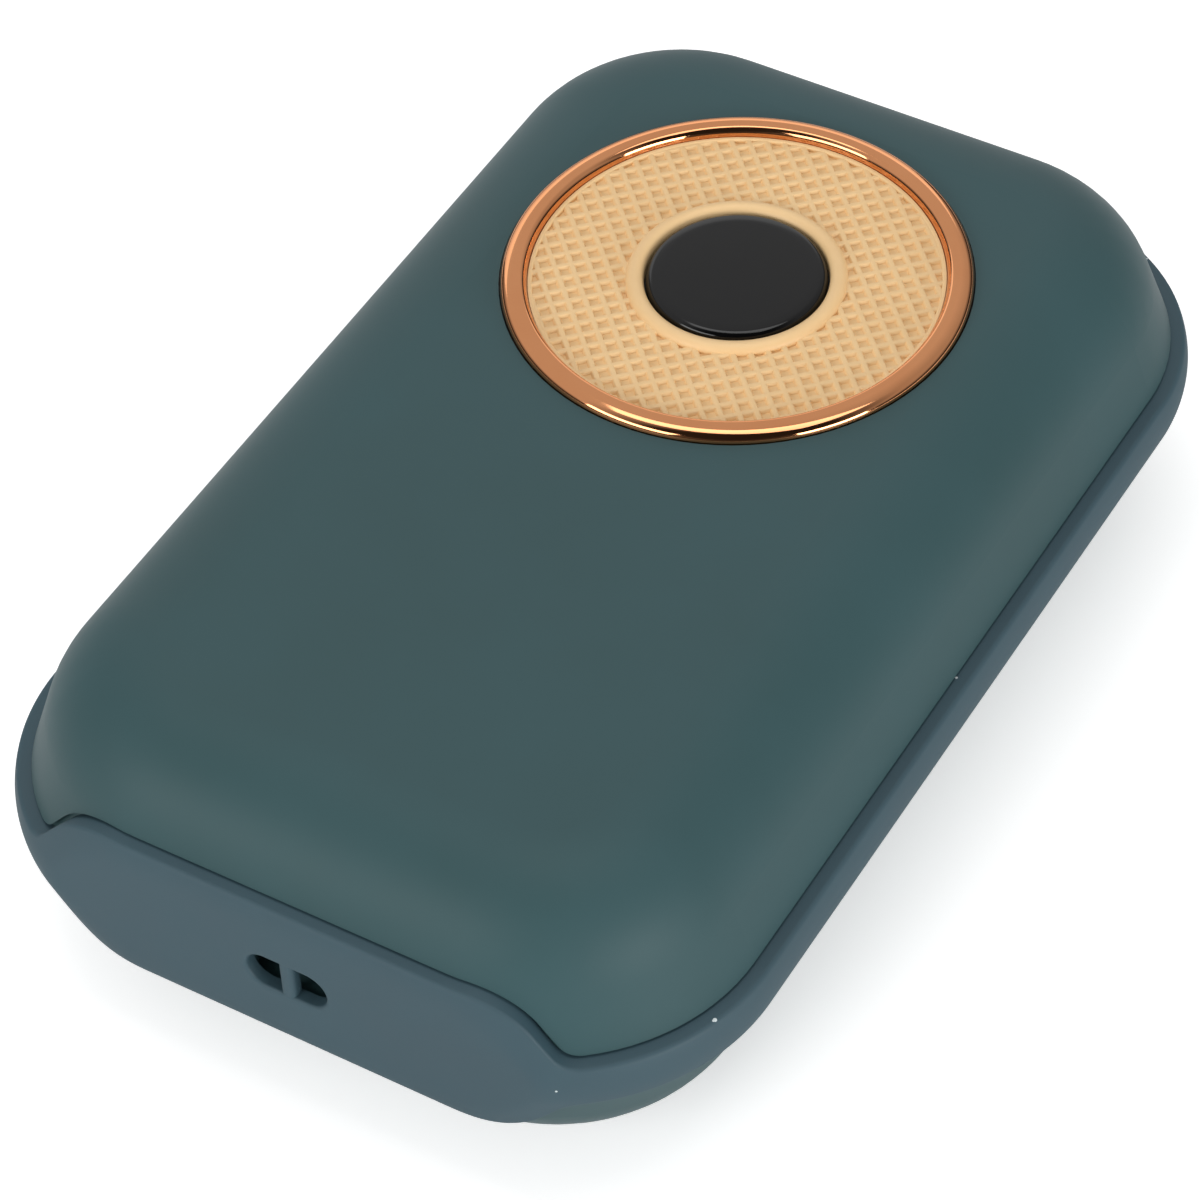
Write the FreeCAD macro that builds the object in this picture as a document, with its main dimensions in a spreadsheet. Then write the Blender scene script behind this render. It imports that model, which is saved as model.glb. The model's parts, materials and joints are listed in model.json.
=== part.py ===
"""Rechargeable hand warmer: domed shells, a soft band with a lanyard slot, a push button and inner works.

Frame: the back face rests on Z = 0, +Z points out of the front, +Y towards the button end, +X to the right.
Lengths are millimetres. Every driving dimension is a cell of the sheet "dims".
"""
import FreeCAD, Part
import math
import os

import Sketcher
from FreeCAD import Placement, Rotation, Vector

DRIVING_DIMENSIONS = {
    # waist outline over the band, before its two ends are cut flat
    "body_width": 66.2,
    "body_length": 106.5,
    "body_height": 29.0,
    "corner_radius": 19.2,
    # domed shells
    "shell_wall": 2.0,
    "shell_draft": 18.5,
    "edge_round_share": 0.4,
    # rating label on the back, which the part rests on
    "label_width": 30.0,
    "label_length": 44.0,
    "label_end_distance": 47.25,
    "label_thick": 0.4,
    "label_proud": 0.25,
    "label_gap": 0.1,
    # soft band and its tall flat panels at both ends
    "band_height": 4.2,
    "band_proud": 1.1,
    "band_crest_share": 0.2,
    "band_seat": 0.6,
    "band_gap": 0.05,
    "lip_gap": 0.25,
    "panel_flat_inset": 2.2,
    "panel_thick": 1.2,
    "panel_height": 14.9,
    "panel_half_width": 18.9,
    "panel_slope_run": 4.3,
    "port_panel_height": 8.4,
    "port_panel_half_width": 18.0,
    "panel_crest_round": 7.0,
    "panel_foot_round": 2.4,
    "fit_gap": 0.2,
    # lanyard slot
    "slot_length": 7.2,
    "slot_height": 3.5,
    "slot_bar_width": 1.3,
    "slot_margin": 0.5,
    # round trim on the front face
    "trim_end_distance": 33.55,
    "trim_recess": 1.0,
    "ring_side_inset": 13.6,
    "ring_width": 2.4,
    "ring_proud": 0.85,
    "ring_shoulder": 0.25,
    "ring_crest_inset": 0.9,
    "ring_inner_rise": 0.3,
    "ring_lip": 0.6,
    "ring_crest_round": 0.5,
    "dial_rim_drop": 0.2,
    "collar_width": 1.55,
    "collar_proud": 0.5,
    "collar_round": 0.4,
    # push button and its switch
    "button_diameter": 15.0,
    "button_gap": 0.15,
    "button_proud": 0.55,
    "button_round": 0.7,
    "lens_thick": 1.0,
    "button_flange": 0.8,
    "button_flange_thick": 1.2,
    "button_rest_gap": 0.05,
    "button_stem_radius": 2.3,
    "button_travel": 0.5,
    "guide_wall": 1.5,
    "guide_depth": 2.8,
    "switch_side": 6.2,
    "switch_body_height": 3.5,
    "plunger_radius": 1.7,
    "plunger_gap": 0.06,
    "plunger_height": 1.5,
    "plunger_depth": 1.2,
    # charging socket
    "socket_width": 8.94,
    "socket_height": 3.2,
    "socket_depth": 7.3,
    "socket_wall": 0.3,
    "socket_inset": 0.1,
    "tongue_width": 6.7,
    "tongue_thick": 0.7,
    "tongue_depth": 4.6,
    "tongue_root": 1.4,
    "port_margin": 0.6,
    # circuit board
    "board_width": 32.0,
    "board_length": 38.0,
    "board_thick": 1.2,
    "board_hole_inset": 3.0,
    "chip_side": 5.0,
    "chip_height": 0.9,
    "chip_distance": 12.4,
    "coil_side": 6.0,
    "coil_height": 2.8,
    "capacitor_radius": 2.0,
    "capacitor_height": 5.4,
    "capacitor_pitch": 6.0,
    "led_length": 1.6,
    "led_width": 0.8,
    "led_height": 0.7,
    "led_offset": 4.6,
    "plug_width": 6.0,
    "plug_depth": 4.0,
    "plug_height": 4.2,
    # chassis
    "chassis_inset": 5.7,
    "chassis_wall": 1.3,
    "chassis_half_height": 7.0,
    "shelf_lift": 1.0,
    "shelf_thick": 1.4,
    "shelf_clearance": 2.7,
    "boss_radius": 2.0,
    "lug_inset": 9.35,
    "lug_end_inset": 31.25,
    "clip_thick": 0.9,
    "clip_width": 8.0,
    "clip_barb": 0.5,
    "barb_height": 0.8,
    "clip_end_inset": 28.25,
    "clip_drop": 3.6,
    "clip_rise": 7.0,
    # screws
    "screw_radius": 0.9,
    "screw_gap": 0.03,
    "screw_head_radius": 1.7,
    "screw_head_height": 1.2,
    "screw_bite": 4.0,
    "screw_hole_gap": 0.2,
    # heaters, padding and cells
    "plate_round": 5.5,
    "plate_inset": 14.75,
    "plate_thick": 0.8,
    "film_thick": 0.3,
    "film_margin": 1.0,
    "film_tail_width": 6.0,
    "film_tail_length": 6.0,
    "film_tail_overrun": 0.8,
    "pad_thick": 2.0,
    "pad_margin": 2.5,
    "cell_side_gap": 0.35,
    "cell_end_inset": 11.75,
    "cell_round": 2.5,
    "cell_gap": 2.5,
    "sensor_length": 3.0,
    "sensor_width": 1.8,
    "sensor_height": 1.4,
    "guard_width": 30.0,
    "guard_height": 6.0,
    "guard_thick": 1.0,
    "lead_radius": 0.6,
    "lead_pitch": 2.4,
    "lead_post_gap": 4.5,
    "lead_room": 1.0,
}

doc = FreeCAD.newDocument("hand_warmer")
sheet = doc.addObject("Spreadsheet::Sheet", "dims")
for row, (alias, number) in enumerate(DRIVING_DIMENSIONS.items(), start=1):
    sheet.set(f"A{row}", alias)
    sheet.set(f"B{row}", str(number))
    sheet.setAlias(f"B{row}", alias)
doc.recompute()


class Size:
    """A length worked out from sheet cells: its number, and the same sum as an expression."""

    def __init__(self, text, number):
        self.text = text
        self.number = number

    def __float__(self):
        return float(self.number)

    def __neg__(self):
        return Size(f"(0 - {self.text})", -self.number)

    def __add__(self, other):
        other = as_size(other)
        return Size(f"({self.text} + {other.text})", self.number + other.number)

    def __sub__(self, other):
        other = as_size(other)
        return Size(f"({self.text} - {other.text})", self.number - other.number)

    def __mul__(self, other):
        other = as_size(other)
        return Size(f"({self.text} * {other.text})", self.number * other.number)

    def __truediv__(self, other):
        other = as_size(other)
        return Size(f"({self.text} / {other.text})", self.number / other.number)


def as_size(value):
    """A plain number as a Size; a Size as it is."""
    return value if isinstance(value, Size) else Size(repr(float(value)), float(value))


def slope(angle):
    """How far a wall leans for each millimetre it rises."""
    return Size(f"tan({angle.text} * 1 deg)", math.tan(math.radians(angle.number)))


class Dimensions:
    """The sheet's cells by name, each as a Size."""

    def __getattr__(self, alias):
        return Size(f"dims.{alias}", float(sheet.get(alias)))


d = Dimensions()
ZERO = as_size(0)
SPARE = as_size(2)          # how far a cutting tool runs past what it cuts
TOUCH = 1e-4                # nearer than this, two places count as one
UPSIDE_DOWN = Rotation(Vector(0, 1, 0), 180)
HALF_TURN = Rotation(Vector(0, 0, 1), 180)

# Heights and places that several pieces share
mid = d.body_height / 2
side_x = d.body_width / 2
end_y = d.body_length / 2
front_inside = d.body_height - d.shell_wall
seat_inset = d.band_proud + d.band_seat
cavity_inset = d.band_proud + d.shell_wall
panel_back = d.panel_flat_inset + d.panel_thick
panel_inside = panel_back + d.shell_wall
edge_round = d.body_height * d.edge_round_share
recess_floor = d.body_height - d.trim_recess
label_centre = d.label_end_distance - end_y
trim_centre = end_y - d.trim_end_distance
button_radius = d.button_diameter / 2
collar_inner = button_radius + d.button_gap
collar_outer = collar_inner + d.collar_width
flange_radius = button_radius + d.button_flange
guide_bore = flange_radius + d.button_gap
guide_outer = guide_bore + d.guide_wall
ring_outer = side_x - d.ring_side_inset
ring_inner = ring_outer - d.ring_width
dial_radius = ring_inner + d.ring_lip - d.fit_gap / 2
board_top = mid - d.socket_height / 2
board_bottom = board_top - d.board_thick
chassis_bottom = mid - d.chassis_half_height
chassis_top = mid + d.chassis_half_height
shelf_bottom = chassis_bottom + d.shelf_lift
shelf_top = shelf_bottom + d.shelf_thick
board_end = end_y - d.chassis_inset - d.chassis_wall - d.lead_room
board_start = board_end - d.board_length
shelf_start = board_start - d.shelf_clearance
switch_top = board_top + d.switch_body_height
plunger_top = switch_top + d.plunger_height
cell_end = shelf_start - d.cell_gap
cell_start = d.cell_end_inset - end_y
cell_length = cell_end - cell_start
back_film_bottom = d.shell_wall + d.plate_thick
back_film_top = back_film_bottom + d.film_thick
front_film_top = front_inside - d.plate_thick
front_film_bottom = front_film_top - d.film_thick
plate_end = end_y - d.plate_inset
plate_width = d.body_width - d.plate_inset * 2
front_plate_end = trim_centre - guide_outer - d.lead_room
lead_y = board_start + d.lead_room
clip_inset = cavity_inset + d.clip_drop * slope(d.shell_draft) + d.fit_gap
lug_x = side_x - d.lug_inset
lug_y = end_y - d.lug_end_inset
clip_y = end_y - d.clip_end_inset
cell_width = (lug_x - d.boss_radius - d.cell_side_gap) * 2
hole_x = d.board_width / 2 - d.board_hole_inset
lead_x = hole_x - d.lead_post_gap
hole_ys = (board_start + d.board_hole_inset, board_end - d.board_hole_inset)
socket_front = end_y - d.panel_flat_inset - d.socket_inset
socket_rear = socket_front - d.socket_depth


def bind(thing, **sizes):
    """Ties each named property to its Size; a double underscore stands for a dot in the property's path."""
    for path, size in sizes.items():
        thing.setExpression(path.replace("__", "."), as_size(size).text)
    return thing


def place(thing, x=0, y=0, z=0, turn=None):
    """Puts a thing at a place worked out from the sheet, turned if asked."""
    spot = [as_size(value) for value in (x, y, z)]
    thing.Placement = Placement(Vector(*map(float, spot)), turn or Rotation())
    return bind(thing, Placement__Base__x=spot[0], Placement__Base__y=spot[1], Placement__Base__z=spot[2])


def block(name, low, high):
    """A box between two corners."""
    low, high = [as_size(v) for v in low], [as_size(v) for v in high]
    thing = doc.addObject("Part::Box", name)
    bind(thing, Length=high[0] - low[0], Width=high[1] - low[1], Height=high[2] - low[2])
    return place(thing, *low)


def rod(name, radius, low, high, x=0, y=0):
    """An upright cylinder between two heights."""
    low, high = as_size(low), as_size(high)
    thing = bind(doc.addObject("Part::Cylinder", name), Radius=radius, Height=high - low)
    return place(thing, x, y, low)


def rod_along_y(name, radius, low, high, x, z):
    """A cylinder that lies along Y between two places."""
    low, high = as_size(low), as_size(high)
    thing = bind(doc.addObject("Part::Cylinder", name), Radius=radius, Height=high - low)
    return place(thing, x, low, z, Rotation(Vector(1, 0, 0), -90))


def join(name, *pieces):
    """The union of several shapes."""
    thing = doc.addObject("Part::MultiFuse", name)
    thing.Shapes = list(pieces)
    thing.Refine = True
    return thing


def group(name, *pieces):
    """Several separate solids kept as one node."""
    thing = doc.addObject("Part::Compound", name)
    thing.Links = list(pieces)
    return thing


def cut(name, base, *tools):
    """The base with the tools taken away."""
    tool = tools[0] if len(tools) == 1 else join(name + "_tools", *tools)
    thing = doc.addObject("Part::Cut", name)
    thing.Base = base
    thing.Tool = tool
    thing.Refine = True
    return thing


def overlap(name, first, second):
    """What two shapes share."""
    thing = doc.addObject("Part::Common", name)
    thing.Base = first
    thing.Tool = second
    return thing


def oblong_along_y(name, width, height, low, high, z):
    """A bar along Y whose section is a rectangle with half-round ends."""
    radius = as_size(height) / 2
    reach = as_size(width) / 2 - radius
    return join(name, block(name + "_core", (-reach, low, z - radius), (reach, high, z + radius)),
                rod_along_y(name + "_left", radius, low, high, -reach, z),
                rod_along_y(name + "_right", radius, low, high, reach, z))


def new_sketch(body, name, role):
    """A sketch on one of the body's own origin planes."""
    plane = next(feature for feature in body.Origin.OriginFeatures if feature.Role == role)
    sketch = body.newObject("Sketcher::SketchObject", name)
    sketch.AttachmentSupport = [(plane, "")]
    sketch.MapMode = "FlatFace"
    return sketch


def tie(sketch, name, constraint, size):
    """Adds a dimension to a sketch and binds it to the sheet."""
    index = sketch.addConstraint(constraint)
    sketch.renameConstraint(index, name)
    sketch.setExpression(f"Constraints.{name}", as_size(size).text)


def draw_rounded_rectangle(sketch, width, length, radius):
    """Four lines and four tangent arcs, centred on the sketch's origin."""
    half_w, half_l, r = float(width) / 2, float(length) / 2, float(radius)
    in_x, in_y = half_w - r, half_l - r
    lines = [((-in_x, half_l), (in_x, half_l)), ((half_w, in_y), (half_w, -in_y)),
             ((in_x, -half_l), (-in_x, -half_l)), ((-half_w, -in_y), (-half_w, in_y))]
    corners = [(in_x, in_y, 0), (in_x, -in_y, 270), (-in_x, -in_y, 180), (-in_x, in_y, 90)]
    for (first, last), (x, y, start) in zip(lines, corners):
        sketch.addGeometry(Part.LineSegment(Vector(*first, 0), Vector(*last, 0)))
        circle = Part.Circle(Vector(x, y, 0), Vector(0, 0, 1), r)
        sketch.addGeometry(Part.ArcOfCircle(circle, math.radians(start), math.radians(start + 90)))
    top, right, bottom, left = 0, 2, 4, 6
    arcs = (1, 3, 5, 7)
    for line, arc, following in zip((top, right, bottom, left), arcs, (right, bottom, left, top)):
        sketch.addConstraint(Sketcher.Constraint("Tangent", line, 2, arc, 2))
        sketch.addConstraint(Sketcher.Constraint("Tangent", arc, 1, following, 1))
    for arc in arcs[1:]:
        sketch.addConstraint(Sketcher.Constraint("Equal", arcs[0], arc))
    sketch.addConstraint(Sketcher.Constraint("Horizontal", bottom))
    sketch.addConstraint(Sketcher.Constraint("Vertical", left))
    sketch.addConstraint(Sketcher.Constraint("Symmetric", top, 1, top, 2, -2))
    sketch.addConstraint(Sketcher.Constraint("Symmetric", right, 1, right, 2, -1))
    tie(sketch, "radius", Sketcher.Constraint("Radius", arcs[0], r), radius)
    tie(sketch, "width", Sketcher.Constraint("DistanceX", left, 1, right, 2, 2 * half_w), width)
    tie(sketch, "length", Sketcher.Constraint("DistanceY", bottom, 1, top, 2, 2 * half_l), length)


def draw_polygon(sketch, points):
    """A closed run of lines, each corner dimensioned from the sketch's origin."""
    points = [(as_size(x), as_size(y)) for x, y in points]
    for here, there in zip(points, points[1:] + points[:1]):
        sketch.addGeometry(Part.LineSegment(Vector(*map(float, here), 0), Vector(*map(float, there), 0)))
    for line in range(len(points)):
        sketch.addConstraint(Sketcher.Constraint("Coincident", line, 2, (line + 1) % len(points), 1))
    for line, corner in enumerate(points):
        for axis, size, zero_line in (("X", corner[0], -2), ("Y", corner[1], -1)):
            if abs(size.number) < TOUCH:
                sketch.addConstraint(Sketcher.Constraint("PointOnObject", line, 1, zero_line))
            elif size.number > 0:
                rule = Sketcher.Constraint(f"Distance{axis}", -1, 1, line, 1, size.number)
                tie(sketch, f"{axis.lower()}_of_corner_{line}", rule, size)
            else:
                rule = Sketcher.Constraint(f"Distance{axis}", line, 1, -1, 1, -size.number)
                tie(sketch, f"{axis.lower()}_of_corner_{line}", rule, -size)


def pad(body, sketch, length, taper=None):
    """Raises a sketch to a solid, leaning inwards if a taper is given."""
    feature = body.newObject("PartDesign::Pad", sketch.Name + "_pad")
    feature.Profile = sketch
    bind(feature, Length=length)
    if taper is not None:
        bind(feature, TaperAngle=-taper)
    doc.recompute()
    return feature


def round_edges(body, feature, name, radius, chosen):
    """Rounds those edges of a feature that the test picks."""
    edges = [f"Edge{number}" for number, edge in enumerate(feature.Shape.Edges, start=1) if chosen(edge)]
    rounding = body.newObject("PartDesign::Fillet", name)
    rounding.Base = (feature, edges)
    bind(rounding, Radius=radius)
    doc.recompute()
    return rounding


def dome(name, inset, roof_drop, turn=None):
    """Half of a domed envelope: the body outline moved in by inset, leaning, with a rounded top edge."""
    body = doc.addObject("PartDesign::Body", name)
    sketch = new_sketch(body, name + "_outline", "XY_Plane")
    width, length = d.body_width - inset * 2, d.body_length - inset * 2
    draw_rounded_rectangle(sketch, width, length, d.corner_radius - inset)
    wall = pad(body, sketch, mid - roof_drop, d.shell_draft)
    roof = float(mid) - float(roof_drop)
    round_edges(body, wall, name + "_round", edge_round - inset,
                lambda edge: edge.BoundBox.ZMin > roof - TOUCH)
    return place(body, z=mid, turn=turn)


def rounded_slab(name, width, length, radius, low, high, y=0):
    """A flat slab with rounded corners, centred on a place along Y."""
    body = doc.addObject("PartDesign::Body", name)
    sketch = new_sketch(body, name + "_outline", "XY_Plane")
    draw_rounded_rectangle(sketch, width, length, radius)
    pad(body, sketch, high - low)
    return place(body, 0, y, low)


def outline_prism(name, inset, low, high):
    """The body outline moved in by inset, as an upright prism."""
    return rounded_slab(name, d.body_width - inset * 2, d.body_length - inset * 2,
                        d.corner_radius - inset, low, high)


def turned(name, points, y, z, roundings=()):
    """A body turned about a vertical axis from a half section; roundings are (radius, corner) pairs."""
    body = doc.addObject("PartDesign::Body", name)
    sketch = new_sketch(body, name + "_section", "XZ_Plane")
    draw_polygon(sketch, points)
    feature = body.newObject("PartDesign::Revolution", name + "_turning")
    feature.Profile = sketch
    feature.ReferenceAxis = (sketch, ["V_Axis"])
    feature.Angle = 360
    doc.recompute()
    for count, (radius, corner) in enumerate(roundings):
        reach, height = map(float, corner)
        feature = round_edges(body, feature, f"{name}_round_{count}", radius,
                              lambda edge: is_circle(edge, reach, height))
    return place(body, 0, y, z)


def is_circle(edge, radius, height):
    """Whether an edge is a level circle of this radius at this height."""
    box = edge.BoundBox
    gaps = (box.ZMin - height, box.ZMax - height, box.XMax - radius)
    return all(abs(gap) < TOUCH for gap in gaps)


def panel_prism(name, half_width, height, grow, length, turn=None):
    """The band's side view over half of the body: a low strip that swells into an end panel."""
    low, high = d.band_height / 2 + grow, height / 2 + grow
    foot, crest = half_width + d.panel_slope_run + grow, half_width + grow
    far = side_x + SPARE
    upper = [(-far, low), (-foot, low), (-crest, high), (crest, high), (foot, low), (far, low)]
    lower = [(x, -z) for x, z in reversed(upper)]
    body = doc.addObject("PartDesign::Body", name)
    sketch = new_sketch(body, name + "_side", "XZ_Plane")
    draw_polygon(sketch, upper + lower)
    feature = pad(body, sketch, length)

    def along_y_at(reach, level):
        return lambda edge: (edge.BoundBox.YLength > 1
                             and abs(abs(edge.BoundBox.XMin) - float(reach)) < TOUCH
                             and abs(abs(edge.BoundBox.ZMin) - float(level)) < TOUCH)

    feature = round_edges(body, feature, name + "_crest", d.panel_crest_round + grow,
                          along_y_at(crest, high))
    round_edges(body, feature, name + "_foot", d.panel_foot_round - grow, along_y_at(foot, low))
    return place(body, z=mid, turn=turn)


def band_tool(name, grow):
    """The space the band takes up seen from the ends, over the whole length; grow widens it all round."""
    reach = end_y + SPARE
    lanyard_end = panel_prism(name + "_lanyard_end", d.panel_half_width, d.panel_height, grow, reach)
    port_end = panel_prism(name + "_port_end", d.port_panel_half_width, d.port_panel_height, grow, reach,
                           HALF_TURN)
    return join(name, lanyard_end, port_end)


def square_ended(name, thing, depth):
    """A shape cut off square at both ends, at a depth inside the waist outline."""
    far_x, far_y, top = side_x + SPARE, end_y + SPARE * 2, d.body_height + SPARE
    near_end = block(name + "_near_end", (-far_x, -far_y, -SPARE), (far_x, depth - end_y, top))
    far_end = block(name + "_far_end", (-far_x, end_y - depth, -SPARE), (far_x, far_y, top))
    return cut(name, thing, near_end, far_end)


def slot_notch(name):
    """The hollow behind the lanyard slot, through both shell walls."""
    reach, rise = d.slot_length / 2 + d.slot_margin, d.slot_height / 2 + d.slot_margin
    return block(name, (-reach, -end_y - SPARE, mid - rise),
                 (reach, panel_inside + d.slot_margin - end_y, mid + rise))


def port_notch(name):
    """The way through the shell walls for the charging socket and the board's tongue."""
    reach = d.socket_width / 2 + d.port_margin
    return block(name, (-reach, end_y - panel_inside - SPARE, board_bottom - d.fit_gap),
                 (reach, end_y + SPARE, mid + d.socket_height / 2 + d.fit_gap))


def hollow_shell(name, outer, turn=None):
    """A domed shell with its inside and the channel for the band taken out."""
    inner_dome = dome(name + "_inner_dome", cavity_inset, d.shell_wall, turn)
    inner = square_ended(name + "_inner", inner_dome, panel_inside)
    seat_dome = dome(name + "_seat_dome", seat_inset, d.shell_wall / 2, turn)
    seat = square_ended(name + "_seat", seat_dome, panel_back)
    far_x, far_y = side_x + SPARE * 2, end_y + SPARE * 2
    far_low, far_high = (ZERO, mid) if turn is None else (mid, d.body_height)
    other_side = block(name + "_other_side", (-far_x, -far_y, far_low), (far_x, far_y, far_high))
    channel = cut(name + "_channel", band_tool(name + "_channel_tool", d.lip_gap), seat, other_side)
    return cut(name + "_hollow", outer, inner, channel)


def front_clips(name):
    """Four hooks that reach down from the front shell into the chassis."""
    hooks = []
    for side in (-1, 1):
        for end in (-1, 1):
            middle = clip_y * end
            outside, inside = side_x - clip_inset, side_x - clip_inset - d.clip_thick
            tip = inside - d.clip_barb
            low_y, high_y = middle - d.clip_width / 2, middle + d.clip_width / 2
            foot = mid - d.clip_drop
            label = f"{name}_{'left' if side < 0 else 'right'}_{'low' if end < 0 else 'high'}"
            arm_x = (inside, outside) if side > 0 else (-outside, -inside)
            barb_x = (tip, inside + d.fit_gap) if side > 0 else (-inside - d.fit_gap, -tip)
            arm_top, barb_top = mid + d.clip_rise, foot + d.barb_height
            hooks.append(block(label + "_arm", (arm_x[0], low_y, foot), (arm_x[1], high_y, arm_top)))
            hooks.append(block(label + "_barb", (barb_x[0], low_y, foot), (barb_x[1], high_y, barb_top)))
    return hooks


def make_front_shell():
    hollow = hollow_shell("front_shell", dome("front_shell_outer", d.band_proud, ZERO))
    guide_bottom = front_inside - d.guide_depth
    guide = rod("button_guide", guide_outer, guide_bottom, front_inside + d.fit_gap, y=trim_centre)
    solid = join("front_shell_solid", hollow, guide, *front_clips("clip"))
    recess_radius = ring_outer + d.fit_gap / 2
    recess = rod("trim_recess", recess_radius, recess_floor, d.body_height + SPARE, y=trim_centre)
    bore = rod("button_bore", guide_bore, guide_bottom - SPARE, d.body_height, y=trim_centre)
    return cut("front_shell", solid, recess, bore,
               slot_notch("front_slot_notch"), port_notch("front_port_notch"))


def lug_places():
    return [(lug_x * side, lug_y * end) for side in (-1, 1) for end in (-1, 1)]


def label_slab(name, grow):
    """The rating label's slab, grown at its sides by an amount for its seat."""
    reach_x, reach_y = d.label_width / 2 + grow, d.label_length / 2 + grow
    return block(name, (-reach_x, label_centre - reach_y, ZERO),
                 (reach_x, label_centre + reach_y, d.label_thick))


def make_rating_label():
    return label_slab("rating_label", ZERO)


def make_back_shell():
    outer = dome("back_shell_outer", d.band_proud, d.label_proud, UPSIDE_DOWN)
    hollow = hollow_shell("back_shell", outer, UPSIDE_DOWN)
    posts = [rod(f"back_boss_{i}", d.boss_radius, ZERO, shelf_bottom, x, y)
             for i, (x, y) in enumerate(lug_places())]
    bosses = overlap("back_bosses", join("back_boss_posts", *posts), outer)
    bore_bottom = shelf_bottom - d.screw_bite - d.fit_gap
    bores = [rod(f"back_bore_{i}", d.screw_radius + d.screw_gap, bore_bottom, shelf_bottom + SPARE, x, y)
             for i, (x, y) in enumerate(lug_places())]
    return cut("back_shell", join("back_shell_solid", hollow, bosses), *bores,
               slot_notch("back_slot_notch"), port_notch("back_port_notch"),
               label_slab("back_label_seat", d.label_gap))


def soften(name, base, radius, chosen):
    """Rounds those edges of a finished shape that the test picks."""
    doc.recompute()
    size = float(radius)
    thing = doc.addObject("Part::Fillet", name)
    thing.Base = base
    numbered = enumerate(base.Shape.Edges, start=1)
    thing.Edges = [(number, size, size) for number, edge in numbered if chosen(edge)]
    doc.recompute()
    return thing


def make_middle_band():
    sharp_outside = join("band_sharp_outside", dome("band_outer_front", ZERO, ZERO),
                         dome("band_outer_back", ZERO, ZERO, UPSIDE_DOWN))
    low, high = float(mid) - TOUCH, float(mid) + TOUCH
    domed_outside = soften("band_domed_outside", sharp_outside, d.body_height * d.band_crest_share,
                           lambda edge: low < edge.BoundBox.ZMin and edge.BoundBox.ZMax < high)
    outside = square_ended("band_outside", domed_outside, d.panel_flat_inset)
    seat = seat_inset - d.band_gap
    domed_inside = join("band_domed_inside", dome("band_inner_front", seat, ZERO),
                        dome("band_inner_back", seat, ZERO, UPSIDE_DOWN))
    inside = square_ended("band_inside", domed_inside, panel_back - d.band_gap)
    hoop = cut("band_hoop", overlap("band_strip", outside, band_tool("band_side", ZERO)), inside)
    slot = oblong_along_y("lanyard_slot", d.slot_length, d.slot_height,
                          -end_y - SPARE, panel_back + SPARE - end_y, mid)
    half_bar = d.slot_bar_width / 2
    bar = block("lanyard_bar", (-half_bar, -end_y - SPARE * 2, mid - d.slot_height),
                (half_bar, panel_back + SPARE * 2 - end_y, mid + d.slot_height))
    port = oblong_along_y("port_opening", d.socket_width + d.fit_gap * 2, d.socket_height + d.fit_gap * 2,
                          end_y - panel_back - SPARE, end_y + SPARE, mid)
    return cut("middle_band", hoop, cut("slot_halves", slot, bar), port)


def make_trim_ring():
    foot_inner = ring_inner + d.ring_lip
    lip_bottom = d.button_rest_gap - d.dial_rim_drop
    section = [(ring_outer, -d.trim_recess), (ring_outer, d.ring_shoulder),
               (ring_outer - d.ring_crest_inset, d.ring_proud), (foot_inner, d.ring_proud),
               (ring_inner, d.ring_inner_rise), (ring_inner, lip_bottom),
               (foot_inner, lip_bottom), (foot_inner, -d.trim_recess)]
    crests = [(d.ring_crest_round, section[2]), (d.ring_crest_round, section[3])]
    return turned("trim_ring", section, trim_centre, d.body_height, crests)


def make_dial_plate():
    face = ring_inner - d.fit_gap / 2
    section = [(collar_inner, -d.trim_recess), (dial_radius, -d.trim_recess), (dial_radius, -d.dial_rim_drop),
               (face, -d.dial_rim_drop), (face, ZERO), (collar_outer, ZERO),
               (collar_outer, d.collar_proud), (collar_inner, d.collar_proud)]
    return turned("dial_plate", section, trim_centre, d.body_height, [(d.collar_round, section[6])])


def make_button_lens():
    top, bottom = d.button_proud, d.button_proud - d.lens_thick
    section = [(ZERO, bottom), (button_radius, bottom), (button_radius, top), (ZERO, top)]
    return turned("button_lens", section, trim_centre, d.body_height, [(d.button_round, section[2])])


def make_button_key():
    top = d.button_proud - d.lens_thick
    flange_top = -d.trim_recess - d.button_rest_gap
    flange_bottom = flange_top - d.button_flange_thick
    foot = plunger_top - d.body_height
    section = [(ZERO, foot), (d.button_stem_radius, foot), (d.button_stem_radius, flange_bottom),
               (flange_radius, flange_bottom), (flange_radius, flange_top), (button_radius, flange_top),
               (button_radius, top), (ZERO, top)]
    return turned("button_key", section, trim_centre, d.body_height)


def make_switch():
    half = d.switch_side / 2
    case = block("switch_case", (-half, trim_centre - half, board_top),
                 (half, trim_centre + half, switch_top))
    plunger_bottom = switch_top - d.plunger_depth
    well_bottom = plunger_bottom - d.button_travel - d.fit_gap
    well_radius = d.plunger_radius + d.plunger_gap
    well = rod("switch_well", well_radius, well_bottom, switch_top + SPARE, y=trim_centre)
    plunger = rod("switch_plunger", d.plunger_radius, plunger_bottom, plunger_top, y=trim_centre)
    return [cut("switch_body", case, well), plunger]


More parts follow.
